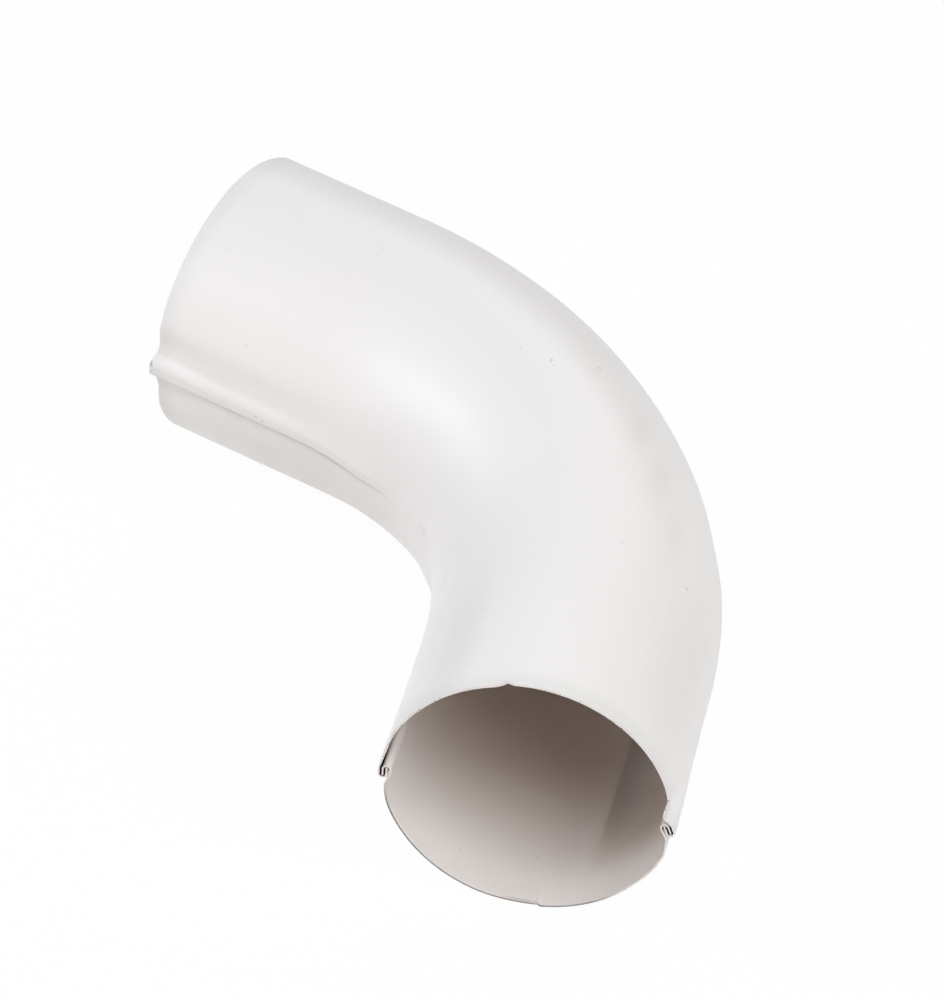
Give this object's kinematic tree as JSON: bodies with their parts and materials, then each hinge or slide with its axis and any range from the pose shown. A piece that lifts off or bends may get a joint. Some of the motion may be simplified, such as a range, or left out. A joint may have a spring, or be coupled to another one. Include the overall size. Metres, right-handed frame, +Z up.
{
  "type": "downspout elbow",
  "caption": "Round downspout elbow pressed from white-coated steel sheet: two half shells with folded lock seams, turning a rainwater pipe through an oblique bend.",
  "frame": {"origin": "centre of the front mouth, in the plane of its cut rim", "axes": "+Y into the duct along the front leg, the bend turns towards -X, +Z up and square to the plane of the bend; the elbow lies on its side"},
  "size_m": [0.2024, 0.2503, 0.09],
  "materials": {
    "coated_steel_upper": "semi-gloss white factory coating on steel sheet, bare steel at the cut edges",
    "coated_steel_lower": "semi-gloss white factory coating on steel sheet, bare steel at the cut edges"
  },
  "bodies": {
    "root": {"upper_half_shell": "coated_steel_upper", "lower_half_shell": "coated_steel_lower"}
  },
  "joints": []
}
